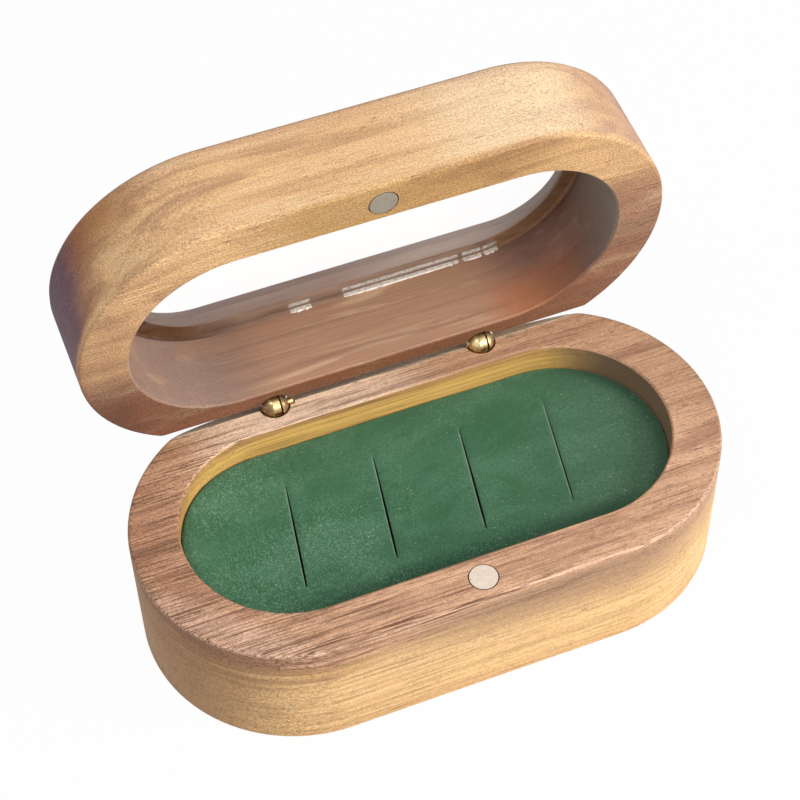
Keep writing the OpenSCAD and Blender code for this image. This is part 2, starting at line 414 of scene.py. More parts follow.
POCKET_WALL_YELLOW = (0.94, 0.89, 0.55)
POCKET_SHADE = (0.190, 0.130, 0.100)
LEFT_END_SHADE = (0.36, 0.165, 0.088)
LEFT_WALL_SHADE = (0.24, 0.112, 0.026)
WAVE_BROWN = (0.27, 0.115, 0.055)
BAND_BROWN = (0.39, 0.240, 0.143)
CORNER_BROWN = (0.36, 0.20, 0.115)
FRONT_PINK = (0.98, 0.69, 0.55)
BACK_RIM_SHEEN = (1.0, 0.76, 0.58)
EDGE_HIGHLIGHT = (0.86, 0.62, 0.47)
RIGHT_EDGE_SHADE = (0.40, 0.25, 0.155)
BEVEL_LIGHT = (1.0, 0.90, 0.70)


def base_walls(f, local, colour, below, x, depth):
    """The outer wall: painted shade at the left end, wavy streaks, and the band under the rim."""
    side = f.times(below, f.fade(x, -36, -57, 0.0, 0.34), f.fade(depth, 26.0, 9.0, 0.62, 1.0))
    colour = f.over(colour, LEFT_WALL_SHADE, side)
    waves = f.fade(f.noise(local, (46, 40, 1.5), 2.0, 0.5, 0.5), 0.42, 0.55, 0.0, 0.60)
    colour = f.over(colour, WAVE_BROWN, waves, f.fade(depth, 16.0, 8.0), below, f.fade(x, -16, -38))
    band = f.times(f.fade(depth, 18.0, 6.0, 0.0, 0.92), f.fade(x, -34, 8), f.fade(x, 56, 30, 0.6, 1.0))
    return f.over(colour, BAND_BROWN, below, band)


def base_rim(f, local, colour, x, y, depth, r):
    """The rim's corners, a painted sheen by the hinges, and a painted highlight and painted shade on the
    outer edge.
    """
    on_top = f.fade(depth, 1.0, 0.4)
    back_right = f.fade(f.along(local, (0.5, 1.0, 0.0)), 16, 32, 0.0, 0.40)
    colour = f.over(colour, CORNER_BROWN, back_right, on_top)
    front_left = f.fade(f.along(local, (-0.7, -0.71, 0.0)), 42.5, 47.5, 0.0, 0.34)
    colour = f.over(colour, FRONT_PINK, front_left, on_top)
    # Painted sheen along the back of the rim, by the hinges.
    by_hinges = f.times(f.fade(y, 13, 23, 0.0, 0.62), f.fade(x, 16, -8), f.fade(x, -46, -32))
    colour = f.over(colour, BACK_RIM_SHEEN, by_hinges, f.fade(depth, 0.5, 0.2))
    # Painted highlight along the front of the outer edge.
    edge = f.times(f.fade(r, OUTER_R - 0.6, OUTER_R - 0.35), f.fade(depth, 0.6, 0.3))
    front_right = f.fade(f.math("SUBTRACT", x, y), -12, 18, 0.0, 0.36)
    colour = f.over(colour, EDGE_HIGHLIGHT, edge, front_right, f.fade(x, 57, 44, 0.3, 1.0))
    # Painted shade on the outer edge towards the right.
    broad_edge = f.times(f.fade(r, OUTER_R - 1.0, OUTER_R - 0.4), f.fade(x, 30, 48, 0.0, 0.45))
    return f.over(colour, RIGHT_EDGE_SHADE, broad_edge, f.fade(depth, 1.6, 0.6))


def base_places(f, local, colour):
    """The tinted colour, and how coarse and how combed the wood is from place to place."""
    x, y, z = f.xyz(local)
    depth = f.math("SUBTRACT", RIM / MM, z)
    r = from_spine(f, local)
    inside = f.times(f.fade(r, POCKET_R + 0.3, POCKET_R), f.fade(depth, 0.0, 0.6))
    colour = f.over(colour, POCKET_WALL_YELLOW, inside, blend="MULTIPLY")
    # Painted shade on the pocket wall's right end, which faces away from the key lamp.
    colour = f.over(colour, POCKET_SHADE, inside, f.fade(x, 33, 46, 0.0, 0.90))

    # Painted shade over the block's left end, which faces away from the key lamp.
    colour = f.over(colour, LEFT_END_SHADE, f.fade(x, -38, -57, 0.0, 0.62))
    below = f.times(f.fade(depth, 0.4, 1.6), f.math("SUBTRACT", 1.0, inside))
    colour = base_walls(f, local, colour, below, x, depth)
    colour = base_rim(f, local, colour, x, y, depth, r)
    # Painted light on the bevel, which lies in the lid's shadow.
    bevel = f.fade(f.along(local, BEVEL_FACING), BEVEL_AT - 0.12, BEVEL_AT - 0.04)
    colour = f.over(colour, BEVEL_LIGHT, bevel, 0.9)

    coarse = f.math("MULTIPLY_ADD", inside, -0.75, f.fade(x, -20, -48, 1.0, 1.6))
    front_left = f.fade(f.along(local, (-0.9, -0.45, 0.0)), 6, 42, 0.15, 0.85)
    return colour, coarse, f.times(f.fade(depth, 1.4, 0.3), front_left)


print("pocket wall radius, mm:", round(POCKET_R, 2), "bevel faces", [round(v, 3) for v in BEVEL_FACING])


# %% [markdown]
# The lid has more history. Inside, the wood is paler, but the glue's fumes
# left a grey bloom on the lip that holds the pane and on the left of the
# cavity. The right end is rust-red low down, and painted shade darkens that
# end and its low corner and turns it greyer above. The rim drank more oil than
# the sides and is redder towards the hinges. The walls have a painted sheen at
# the front right and are rosy along the top edge and at the right. The left
# end is painted dark as painted shade, from red to nearly purple.
#
# These steps are measured with the lid lying flat, so height counts up from
# the rim that meets the base. The cavity's size is that of the CAD part.

# %% Places on the lid
CAVITY_LENGTH = 100.2
CAVITY_R = 44.2 / 2
CAVITY_HALF_STRAIGHT = CAVITY_LENGTH / 2 - CAVITY_R
LID_HEIGHT = 21.0

CAVITY_BROWN = (0.46, 0.270, 0.178)
RIGHT_END_SHADE = (0.68, 0.66, 0.78)
RUST = (0.50, 0.155, 0.045)
NOOK_SHADE = (0.66, 0.72, 0.78)
RIGHT_END_GREY_SHADE = (0.35, 0.310, 0.275)
BLOOM = (0.265, 0.180, 0.150)
LIP_BLOOM_LEFT = (0.315, 0.245, 0.225)
LIP_BLOOM_RIGHT = (0.48, 0.41, 0.37)
OILED = (0.63, 0.580, 0.42)
HINGE_SIDE_RED = (0.165, 0.046, 0.022)
RIM_END_DULL = (0.70, 0.68, 0.70)
LID_SHEEN_GOLD = (1.0, 0.79, 0.54)
ROSY = (0.47, 0.275, 0.200)
LID_LEFT_SHADE = (0.33, 0.140, 0.045)
END_SHADE_RED = (0.18, 0.030, 0.018)
END_SHADE_PURPLE = (0.026, 0.003, 0.058)


def lid_cavity(f, colour, inside, bloom, x, y, height):
    """Inside the lid: rust and painted shade at the right, grey bloom at the left and on the lip."""
    colour = f.over(colour, CAVITY_BROWN, inside, 0.40)
    # Painted shade on the right end, which faces away from the key lamp.
    colour = f.over(colour, RIGHT_END_SHADE, inside, f.fade(x, 22, 40), blend="MULTIPLY")
    rust = f.times(f.fade(x, 22, 33), f.fade(x, 48, 41), f.fade(height, 13, 4, 0.0, 0.55))
    colour = f.over(colour, RUST, inside, rust)
    # Painted shade in the low corner of the right end.
    nook = f.times(f.fade(x, 33, 42), f.fade(height, 12, 3, 0.0, 0.85))
    colour = f.over(colour, NOOK_SHADE, inside, nook, blend="MULTIPLY")
    # Painted shade, greyer, at the front of the right end.
    colour = f.over(colour, RIGHT_END_GREY_SHADE, inside, f.fade(x, 20, 34), f.fade(y, 15, -4, 0.0, 0.84))
    colour = f.over(colour, BLOOM, inside, f.fade(x, -18, -34), f.fade(bloom, 0.30, 0.60, 0.35, 0.85))
    on_lip = f.mix(f.fade(x, -5, 20), LIP_BLOOM_LEFT, LIP_BLOOM_RIGHT)
    return f.over(colour, on_lip, inside, f.fade(height, 17.6, 18.6, 0.0, 0.88))


def lid_rim(f, colour, rim, x, y):
    """The rim: oiled towards front and back, red at the hinges, dull at the left end."""
    oiled = f.times(f.fade(f.math("ABSOLUTE", y), 4, 23, 0.30, 1.0), f.fade(x, 20, 44, 1.0, 0.40))
    colour = f.over(colour, OILED, rim, oiled, f.fade(x, -12, -34, 1.0, 0.05), blend="MULTIPLY")
    colour = f.over(colour, HINGE_SIDE_RED, rim, f.fade(y, 2, 15), f.fade(x, -40, 45, 0.66, 0.40))
    return f.over(colour, RIM_END_DULL, rim, f.fade(x, -46, -54), blend="MULTIPLY")


def lid_walls(f, colour, outer, x, height):
    """The outer wall and the top."""
    off_rim = f.fade(height, 0.4, 2.5)
    # Painted sheen on the outer wall towards the right.
    colour = f.over(colour, LID_SHEEN_GOLD, outer, f.fade(x, 2, 26, 0.0, 0.55), f.fade(x, 52, 38), off_rim)
    rosy = f.math("MAXIMUM", f.fade(x, 36, 54, 0.0, 0.60), f.fade(height, 15.0, 20.5, 0.0, 0.38))
    rosy = f.math("MAXIMUM", rosy, f.fade(height, 19.2, 20.3, 0.0, 0.70))
    colour = f.over(colour, ROSY, outer, rosy, off_rim)
    # Painted shade on the lid's left end.
    return f.over(colour, LID_LEFT_SHADE, outer, f.fade(x, -36, -50, 0.0, 0.85), f.fade(height, 8, 17))


def shaded_end(f, colour, bloom, x, height):
    """Painted shade, which spreads from the left end and stops short of the rim."""
    end = f.math("MULTIPLY_ADD", bloom, 3.0, f.math("SUBTRACT", f.times(height, 0.12), x))
    end = f.math("ADD", end, f.fade(height, 3.0, 0.3, 0.0, -6.0))
    colour = f.over(colour, END_SHADE_RED, f.fade(end, 52.0, 58.0, 0.0, 0.62))
    return f.over(colour, END_SHADE_PURPLE, f.fade(end, 56.2, 60.8, 0.0, 0.92))


def lid_places(f, local, colour):
    """The same three as base_places gives."""
    x, y, z = f.xyz(local)
    height = f.math("SUBTRACT", z, RIM / MM)
    bloom = f.noise(local, (9, 6, 4), 3.0, 0.6)
    r = from_spine(f, local, CAVITY_HALF_STRAIGHT)
    under_top = f.fade(height, LID_HEIGHT - 0.05, LID_HEIGHT - 0.25)
    inside = f.times(f.fade(r, CAVITY_R + 0.6, CAVITY_R + 0.1), under_top)
    outer = f.math("SUBTRACT", 1.0, inside)
    rim = f.times(outer, f.fade(height, 0.9, 0.2))

    colour = lid_cavity(f, colour, inside, bloom, x, y, height)
    colour = lid_rim(f, colour, rim, x, y)
    colour = lid_walls(f, colour, outer, x, height)
    colour = shaded_end(f, colour, bloom, x, height)
    coarse = f.math("MULTIPLY_ADD", inside, -0.90, f.fade(height, 1.2, 0.2, 1.0, 1.35))
    return colour, coarse, f.times(rim, f.fade(y, 8, -10, 0.1, 0.55))


print("cavity, mm:", CAVITY_LENGTH, "by", 2 * CAVITY_R)


# %% [markdown]
# The figure itself has six layers, all drawn out along the grain:
#
# - clouds and bands, the slow changes from pale to dark
# - growth lines, whose spacing on a face depends on how the board was cut
# - even marks along the rims, like those of a comb, that the saw left
# - long fine lines, where the saw has opened a vessel along its length
# - pores, short dark dashes
# - fibre and speckle, which also break up the gloss
#
# Each layer has its own function, so that a different board needs only other
# numbers.

# %% Layers of the wood's figure
COMB_MM = 0.80
CLOUD_ROSY = (0.50, 0.30, 0.18)
CLOUD_PALE = (0.84, 0.62, 0.38)
PORE_BLACK = (0.085, 0.040, 0.022)


def clouds_and_bands(f, place, hearted, sap, heart, cloudy):
    """The slow changes. Returns the colour, and the deep tone that darker layers use."""
    tone = f.mix(hearted, sap[0], heart[0])
    deep = f.mix(hearted, sap[1], heart[1])
    band = f.noise(place, (120, 5.0, 2.6), 3.0, 0.55, 0.25)
    streak = f.noise(place, (60, 1.2, 0.8), 2.0, 0.6)
    colour = f.over(tone, deep, f.fade(band, 0.44, 0.74, 0.0, 0.6))
    colour = f.over(colour, deep, f.fade(streak, 0.48, 0.80, 0.0, 0.45))

    cloud = f.noise(place, (36, 8.0, 4.5), 3.0, 0.55, 0.9)
    colour = f.over(colour, f.mix(0.5, deep, CLOUD_ROSY), f.fade(cloud, 0.48, 0.68, 0.0, cloudy))
    return f.over(colour, CLOUD_PALE, f.fade(cloud, 0.46, 0.30, 0.0, 0.5 * cloudy)), deep


def growth_lines(f, place, sway, ripple, across_grain, ring_mm):
    """1 in the dark late wood of each year, which builds up slowly and ends at once."""
    across = f.math("MULTIPLY_ADD", sway, 2.2, f.along(place, across_grain))
    across = f.math("MULTIPLY_ADD", ripple, 0.35, across)
    ring = f.math("FRACT", f.math("DIVIDE", across, ring_mm))
    late = f.times(f.fade(ring, 0.40, 0.88), f.fade(ring, 0.88, 1.0, 1.0, 0.0))
    patch = f.noise(place, (30, 6.0, 6.0), 2.0)
    return f.times(late, f.fade(patch, 0.35, 0.65, 0.15, 1.0))


def comb_marks(f, place, ripple):
    """Evenly spaced grooves along the grain, deeper here and fainter there."""
    across = f.math("MULTIPLY_ADD", ripple, 0.9, f.along(place, (0.0, 1.0, 0.35)))
    tooth = f.math("FRACT", f.math("DIVIDE", across, COMB_MM))
    groove = f.times(f.fade(tooth, 0.30, 0.72), f.fade(tooth, 0.72, 0.98, 1.0, 0.0))
    vary = f.noise(place, (10, 1.3, 1.3), 2.0, 0.6)
    return f.times(groove, f.fade(vary, 0.34, 0.60, 0.10, 1.0))


def vessel_lines(f, local, place, hearted, lined):
    """Long fine lines: more in heartwood, near the outer edge and to the left."""
    lines = f.fade(f.noise(place, (16.0, 0.36, 0.36), 2.0, 0.62), 0.50, 0.66)
    edge = f.fade(from_spine(f, local), OUTER_R - 2.4, OUTER_R - 0.3)
    strength = f.math("MULTIPLY_ADD", edge, 0.5 * lined, lined)
    leftward = f.fade(f.xyz(local)[0], 35, -35, 0.62, 1.2)
    return f.times(lines, f.math("MULTIPLY_ADD", hearted, 0.6, 0.4), strength, leftward)


def pore_dashes(f, place, porous):
    """Short dashes that gather in loose groups."""
    field = f.noise(place, (2.8, 0.22, 0.22), 2.0, 0.65)
    group = f.fade(f.noise(place, (26, 4.0, 4.0), 2.0), 0.38, 0.66, 0.0, 0.07)
    return f.fade(f.math("ADD", field, group), 0.65 - 0.02 * porous, 0.73 - 0.02 * porous)


print("comb marks every", COMB_MM, "mm")


# %% [markdown]
# The recipe lays these layers over each other. The tints of a place come in
# the middle, over the growth lines and under the fine marks, because oil and
# dirt lie on the wood while an open pore stays dark whatever covers it. The
# oiled surface is nearly matt, so its gloss is turned well down, and the
# pores and lines are pressed into it as a very small relief.

# %% The wood recipe
def wood(name, turn, hearts, places, sap, heart, rings, seed, cloudy, lined, porous, grainy):
    """A board. hearts says where its heartwood is, places gives its tints and how coarse and
    combed it is, and the last four say how strong its clouds, lines, pores and grain are."""
    f = Finish(name)
    local = f.place_mm(turn, tuple(PIN))
    place = f.vector("ADD", local, (seed, 0.37 * seed, 0.0))
    sway = swing(f, place, (70, 16, 12))
    ripple = swing(f, place, (22, 3.5, 3.0))
    hearted = heartwood(f, local, sway, ripple, *hearts)

    colour, deep = clouds_and_bands(f, place, hearted, sap, heart, cloudy)
    colour = f.over(colour, deep, growth_lines(f, place, sway, ripple, *rings), 0.7 * lined)
    colour, coarse, combed = places(f, local, colour)
    dark = f.mix(0.6, deep, PORE_BLACK)
    colour = f.over(colour, dark, comb_marks(f, place, ripple), combed, 0.75)
    lines = vessel_lines(f, local, place, hearted, lined)
    colour = f.over(colour, dark, lines)
    pores = f.math("MULTIPLY", pore_dashes(f, place, porous), f.times(coarse, 0.70), clamp=True)
    colour = f.over(colour, dark, pores)

    fibre = f.noise(place, (3.0, 0.16, 0.16), 3.0, 0.7)
    speck = f.noise(place, (0.40, 0.28, 0.28), 2.0, 0.7)
    rough = f.times(coarse, grainy)
    colour = f.over(colour, deep, f.fade(fibre, 0.40, 0.75, 0.0, 0.45), rough)
    shade = f.math("MULTIPLY_ADD", f.math("SUBTRACT", speck, 0.5), f.times(rough, -1.5), 1.0)
    colour = f.over(colour, shade, 1.0, blend="MULTIPLY")

    height = f.math("MULTIPLY_ADD", f.math("MAXIMUM", pores, lines), -1.0, f.times(speck, 0.5))
    gloss = f.math("MULTIPLY_ADD", fibre, 0.14, f.math("MULTIPLY_ADD", pores, 0.2, 0.50))
    f.set(Base_Color=colour, Roughness=gloss, IOR=1.45, Specular_IOR_Level=0.28)
    f.set(Normal=f.bump(height, 0.05, 0.7))
    return f.material


print("the wood recipe is ready")


# %% [markdown]
# Two boards from one tree: the base with its heart at the rim, and the lid
# with its heart towards the hinges. The base is coarser and more lined, and
# the lid cloudier.

# %% Base and lid
BASE_SAP = ((0.86, 0.555, 0.265), (0.50, 0.290, 0.125))
BASE_HEART = ((0.745, 0.450, 0.285), (0.31, 0.155, 0.092))
LID_SAP = ((0.80, 0.505, 0.260), (0.50, 0.280, 0.140))
LID_HEART = ((0.42, 0.220, 0.130), (0.16, 0.075, 0.048))
base_wood = wood(
    "base_wood", turn=0.0, hearts=((0.0, -0.077, 1.0), 26.1, 2.1), places=base_places,
    sap=BASE_SAP, heart=BASE_HEART, rings=((0.0, 0.30, 1.0), 1.7), seed=40.0,
    cloudy=0.25, lined=0.85, porous=1.0, grainy=0.80,
)
lid_wood = wood(
    "lid_wood", turn=OPEN_ANGLE, hearts=((0.12, 1.0, 0.60), 12.5, 5.0), places=lid_places,
    sap=LID_SAP, heart=LID_HEART, rings=((0.0, 1.0, 0.30), 1.35), seed=210.0,
    cloudy=1.0, lined=0.18, porous=0.3, grainy=1.20,
)
dress(base_wood, "base_body")
dress(lid_wood, "lid_frame")
print("wood nodes:", len(base_wood.node_tree.nodes), len(lid_wood.node_tree.nodes))


# %% [markdown]
# ## Metals
#
# The hinges are aged brass: bright where fingers and the turning knuckle
# polish them, brown in between. The magnets have a plain nickel skin with
# fine turning marks. Both are metals, so their colour is the reflection's
# tint, and what they mirror matters more than the lamps.

# %% Brass and nickel
BRASS_BROWN = (0.25, 0.165, 0.085)
BRASS_BRIGHT = (0.76, 0.60, 0.30)
NICKEL_DARK = Vector((0.66, 0.56, 0.46))
NICKEL_BRIGHT = Vector((0.90, 0.78, 0.67))
PIT_BLACK = (0.10, 0.08, 0.07)


def aged_brass(name, stained):
    """Brass. stained, from 0 to 1, is how much of it has gone brown."""
    f = Finish(name)
    place = f.place_mm()
    stain = f.noise(place, (1.3, 1.3, 1.3), 3.0, 0.6)
    grain = f.noise(place, (0.25, 0.25, 0.25), 2.0, 0.6)
    worn = f.fade(stain, 0.22 + 0.32 * stained, 0.40 + 0.34 * stained)
    colour = f.mix(worn, BRASS_BROWN, BRASS_BRIGHT)
    gloss = f.math("MULTIPLY_ADD", worn, -0.22, 0.46)
    gloss = f.math("MULTIPLY_ADD", grain, 0.08, gloss)
    f.set(Base_Color=colour, Metallic=1.0, Roughness=gloss, Normal=f.bump(grain, 0.02, 0.5))
    return f.material


def nickel_skin(name, bright):
    """Nickel with turning marks and a few pits. bright, up to 1, scales its colour, and below 1 it is a
    darker copy as painted shade.
    """
    f = Finish(name)
    place = f.place_mm()
    marks = f.noise(place, (0.9, 0.12, 0.9), 2.0, 0.6)
    cloud = f.noise(place, (1.1, 1.1, 1.1), 3.0, 0.6)
    pit = f.fade(f.noise(place, (0.30, 0.30, 0.30), 0.0), 0.20, 0.13)
    colour = f.mix(cloud, bright * NICKEL_DARK, bright * NICKEL_BRIGHT)
    colour = f.over(colour, PIT_BLACK, pit)
    gloss = f.math("MULTIPLY_ADD", marks, 0.16, 0.40)
    f.set(Base_Color=colour, Metallic=0.75, Roughness=gloss, Normal=f.bump(marks, 0.012, 0.5))
    return f.material


def softened(name, width_mm, segments=3):
    """Rounds a CAD node's edges a little, as any tumbled metal part has."""
    bevel = nodes[name].modifiers.new("soft_edge", "BEVEL")
    bevel.width = width_mm * MM
    bevel.segments = segments
    bevel.limit_method = "ANGLE"
    bevel.angle_limit = math.radians(35)
    bevel.harden_normals = False


dress(aged_brass("stained_brass", 0.8), "left_base_barrel")
dress(aged_brass("antique_brass", 0.4), "right_base_barrel", "right_lid_barrel")
dress(aged_brass("bright_brass", 0.1), "left_lid_barrel", "left_hinge_pin", "right_hinge_pin")
dress(nickel_skin("nickel_skin", 1.0), "base_magnet")
# The lid's magnet gets a darker copy: painted shade, as its face mirrors the darker floor.
dress(nickel_skin("shaded_nickel", 0.66), "lid_magnet")
for magnet in ("base_magnet", "lid_magnet"):
    softened(magnet, 0.25)
softened("left_hinge_pin", 0.5, 5)
print("metals on:", [n for n in nodes if "barrel" in n or "pin" in n or "magnet" in n])


# %% [markdown]
# ## Window pane
#
# The pane is a sheet of acrylic. It needs true thickness for its edge to
# bend what lies behind it, and the CAD node has that, so a clear shader is
# enough for its faces. Its rim is another matter. Bare, it would mirror like
# silver, but on the real box glue fills the gap, so the eye looks through it
# at wet wood. The rim is therefore shaded as that wood, and so is the film
# of glue on the lip. Along stretches at the rim's two corners, white is
# painted in as painted glints.
# The glue also lowers how much the rim bends light, so the pane's refractive
# index is set below that of bare acrylic.
#
# In millimetres, `PANE_FACE` is the height of the pane's inner face above the
# lid's rim, `GLINT_RUNS` are the stretches along the hinge side that carry the
# painted glints and the glue beads, and `FILM_ROW` is a strip of the film,
# measured from the long middle line.

# %% Wet wood and stretches of painted glints
PANE_FACE = 16.8
PANE_INDEX = 1.33
GLINT_RUNS = ((-12.7, -8.1), (-1.1, 24.3), (25.4, 29.4), (30.0, 33.0))
WET_LEFT = (0.17, 0.058, 0.012)
WET_MIDDLE = (0.44, 0.285, 0.200)
WET_RIGHT = (0.48, 0.25, 0.120)
WET_DARK = (0.24, 0.135, 0.095)
CORNER_GAP_SHADE = (0.020, 0.010, 0.008)
# White painted into the pane's rim and the film: painted glints.
RIM_GLINT = (1.0, 0.92, 0.85)
FILM_GLINT = (1.0, 0.95, 0.89)
FILM_ROW = (20.45, 21.75)


def lying_flat(f):
    """Places on the lid as if it lay flat."""
    return f.place_mm(OPEN_ANGLE, tuple(PIN))


def wet_wood(f, local):
    """The brown that shows through glue: dark at the left end, orange at the right."""
    x = f.xyz(local)[0]
    vary = f.noise(local, (12, 1.2, 1.2), 3.0, 0.65)
    colour = f.mix(f.fade(x, -38, -22), WET_LEFT, WET_MIDDLE)
    colour = f.over(colour, WET_RIGHT, f.fade(x, 24, 34))
    return f.over(colour, WET_DARK, f.fade(vary, 0.42, 0.62, 0.0, 0.55))


def glint_runs(f, local):
    """1 along the stretches that carry painted glints, with ragged ends, and 0 between them."""
    x, y, _ = f.xyz(local)
    ragged = f.noise(local, (0.7, 0.7, 0.7), 2.0)
    x = f.math("MULTIPLY_ADD", ragged, 0.8, f.math("SUBTRACT", x, 0.4))
    runs = 0.0
    for start, end in GLINT_RUNS:
        run = f.times(f.fade(x, start - 0.2, start + 0.2), f.fade(x, end + 0.2, end - 0.2))
        runs = f.math("MAXIMUM", runs, run)
    return f.times(runs, f.fade(y, 4, 8))


print("foamed stretches:", len(GLINT_RUNS))


# %% Acrylic and glue
def acrylic():
    """Clear on its faces. Its rim shows wet wood, painted glints, and a dark gap with painted shade at the
    left.
    """
    f = Finish("clear_pane")
    local = lying_flat(f)
    x, _, z = f.xyz(local)
    height = f.math("SUBTRACT", z, RIM / MM)
    rim = f.fade(from_spine(f, local, CAVITY_HALF_STRAIGHT), CAVITY_R - 0.30, CAVITY_R - 0.18)
    glint_froth = f.fade(f.noise(local, (0.9, 0.4, 0.4), 2.0, 0.7), 0.38, 0.52, 0.25, 1.0)
    white = f.times(glint_froth, f.fade(height, 18.35, 18.15, 0.15, 1.0))
    glued = f.over(wet_wood(f, local), RIM_GLINT, glint_runs(f, local), white)
    # A dark gap at the pane's corner at the left, with painted shade in it.
    gap = f.times(f.fade(height, 17.55, 17.05, 0.0, 0.90), f.fade(x, -20, -34))
    glued = f.over(glued, CORNER_GAP_SHADE, gap)
    f.set(Base_Color=f.mix(rim, (1.0, 1.0, 1.0), glued), IOR=PANE_INDEX)
    f.set(Transmission_Weight=f.math("SUBTRACT", 1.0, rim), Roughness=f.times(rim, 0.5))
    return f.material


def glue_film():
    """The film under the pane. Its row painted white, a painted glint seen through the pane, doubles the
    beads in front of it.
    """
    f = Finish("glue_film")
    local = lying_flat(f)
    glint_froth = f.noise(local, (1.1, 0.35, 0.35), 3.0, 0.7)
    r = from_spine(f, local, CAVITY_HALF_STRAIGHT)
    inner, outer = FILM_ROW
    row = f.times(f.fade(r, inner, inner + 0.2), f.fade(r, outer, outer - 0.2), f.fade(glint_froth, 0.34, 0.50))
    milk = f.math("MAXIMUM", row, f.fade(r, 20.9, 21.1, 0.0, 0.12))
    colour = f.over(wet_wood(f, local), FILM_GLINT, glint_runs(f, local), milk)
    f.set(Base_Color=colour, Roughness=0.35, Normal=f.bump(glint_froth, 0.05, 0.6))
    return f.material


# Glue beads painted white: partly foamed glue, partly painted glints.
def glinting_glue():
    f = Finish("glinting_glue")
    glint_froth = f.noise(f.place_mm(), (0.5, 0.5, 0.5), 3.0, 0.7)
    f.set(Base_Color=f.mix(glint_froth, (0.86, 0.76, 0.68), (1.0, 0.97, 0.92)), Roughness=0.25)
    f.set(Normal=f.bump(glint_froth, 0.08, 0.8))
    return f.material


glue = glinting_glue()
dress(acrylic(), "window_pane")
dress(glue_film(), "pane_glue_bead")
pane_low, pane_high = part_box("window_pane")
print("pane, open, mm:", [round(v / MM, 1) for v in pane_high - pane_low])


# %% [markdown]
# ## Hidden layers
#
# Foam and card show only at the bottom of a slit, if at all, but a part that
# is taken apart should still look right.

# %% Foam and card
def foam_finish():
    f = Finish("foam")
    place = f.stretched(f.place_mm(), (0.6, 0.6, 0.6))
    cells = f.node("ShaderNodeTexVoronoi", {"Vector": place, "Scale": 1.0}).outputs[0]
    f.set(Base_Color=f.mix(cells, (0.010, 0.016, 0.012), (0.030, 0.040, 0.034)))
    f.set(Roughness=0.95, Normal=f.bump(cells, 0.2, 0.6))
    return f.material


def card_finish():
    f = Finish("card")
    pulp = f.noise(f.place_mm(), (1.2, 0.5, 0.5), 4.0, 0.7)
    f.set(Base_Color=f.mix(pulp, (0.36, 0.29, 0.20), (0.50, 0.42, 0.31)))
    f.set(Roughness=0.9, Normal=f.bump(pulp, 0.04, 0.5))
    return f.material


dress(foam_finish(), "foam_block")
dress(card_finish(), "backing_card")
print("foam and card dressed")


# %% [markdown]
# ## Ring pad
#
# The suede is one sheet over foam, slit four times for the rings. Its top is
# never quite flat: it swells between the walls, rolls over at its edge,
# rides up at the left end, and dips towards each slit, whose lips part a
# little. A simulation would find about the same shape, but the slits are
# half a millimetre wide and a remesh would close them. So the sheet is a
# grid whose columns follow the slits, and its height is a sum of a few
# plain shapes.

# %% Sizes of the pad
PAD_LOW, PAD_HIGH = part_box("suede_cover")
PAD_R = (PAD_HIGH.y - PAD_LOW.y) / 2
PAD_STRAIGHT = (PAD_HIGH.x - PAD_LOW.x) / 2 - PAD_R
PAD_SWELL = 0.55 * MM
LEFT_RISE = 1.9 * MM
EDGE_ROLL = 0.6 * MM
SUEDE_THICK = 0.5 * MM
print("pad, mm:", round(2 * (PAD_STRAIGHT + PAD_R) / MM, 1), "by", round(2 * PAD_R / MM, 1))

# %% [markdown]
# The slits have the pitch, length and slant of the cuts in the foam below.
# How far a slit gapes is half its width in the middle, in millimetres. The
# last one is nearly closed.

# %% Sizes of the slits
SLIT_COUNT = 4
SLIT_PITCH = 18.6 * MM
SLIT_SLANT = math.radians(10.2)
SLIT_REACH = 12.8 * MM * math.cos(SLIT_SLANT)
SLIT_GAPES = (0.19, 0.20, 0.20, 0.12)


def slit_middle(index):
    """Where a slit crosses the box's middle line."""
    return (index - (SLIT_COUNT - 1) / 2) * SLIT_PITCH


print("slits at, mm:", [round(slit_middle(i) / MM, 1) for i in range(SLIT_COUNT)])


# %% [markdown]
# Each helper below is one of those plain shapes, given a place on the pad,
# and the last adds them up.

# %% Shape of the pad
def smooth(value, low, high):
    t = min(max((value - low) / (high - low), 0.0), 1.0)
    return t * t * (3 - 2 * t)


def half_length(y):
    return PAD_STRAIGHT + math.sqrt(max(PAD_R**2 - y**2, 0.0))


def slit_x(index, y):
    """Where a slit's line, or the column that carries it on to the edge, is at y."""
    held = min(max(y, -SLIT_REACH), SLIT_REACH)
    x = slit_middle(index) + held * math.tan(SLIT_SLANT)
    return x * half_length(y) / half_length(held)


def slit_gape(index, y):
    """Half the width of a slit at y: closed at its ends, widest towards the front."""
    t = y / SLIT_REACH
    if abs(t) >= 1:
        return 0.0
    return SLIT_GAPES[index] * (1 - 0.45 * t) * MM * (1 - t**2) ** 0.3


def slit_dip(x, y):
    """How far the face dips at the slits, less the low ridge beside each of them."""
    fade_out = 1 - smooth(abs(y), SLIT_REACH, SLIT_REACH + 2.5 * MM)
    dip = 0.0
    for index in range(SLIT_COUNT):
        off = abs(x - slit_x(index, y)) / MM
        ridge = 0.10 * math.exp(-(((off - 1.3) / 0.8) ** 2))
        dip += fade_out * (0.16 * math.exp(-((off / 0.45) ** 2)) - ridge)
    return dip * MM


def edge_drop(inset):
    """How far the face has rolled over, that far in from the edge."""
    if inset >= EDGE_ROLL:
        return 0.0
    over = EDGE_ROLL - max(inset, 0.0)
    return EDGE_ROLL - math.sqrt(max(EDGE_ROLL**2 - over**2, 0.0))


